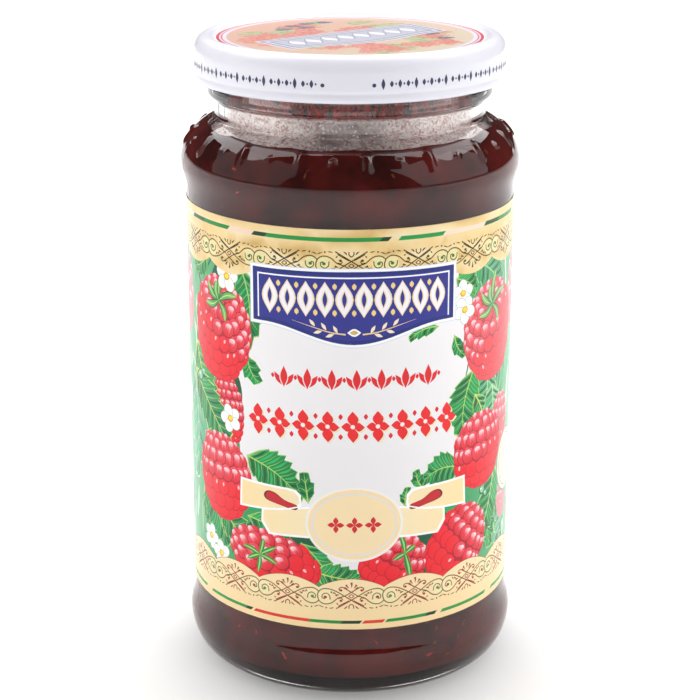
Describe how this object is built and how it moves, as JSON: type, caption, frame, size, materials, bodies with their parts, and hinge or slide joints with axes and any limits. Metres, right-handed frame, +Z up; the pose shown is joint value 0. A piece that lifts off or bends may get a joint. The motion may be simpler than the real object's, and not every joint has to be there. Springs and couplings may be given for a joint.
{
  "type": "jam jar",
  "caption": "Tall round glass jar of dark red berry jam with a white steel twist-off lid and a wrap-round printed paper label.",
  "frame": {"origin": "centre of the foot ring, on the surface the jar stands on", "axes": "+Z up along the jar's axis, and the label's front faces -Y"},
  "size_m": [0.076, 0.076, 0.1445],
  "materials": {
    "glass": "clear moulded soda-lime glass",
    "jam": "wet, dark red fruit jam with seeds",
    "label_paper": "glossy coated paper, printed",
    "lid_lacquer": "gloss white stoved lacquer on tinplate"
  },
  "bodies": {
    "root": {"jar_glass": "glass", "jam": "jam", "label": "label_paper", "lid": "lid_lacquer"}
  },
  "joints": []
}
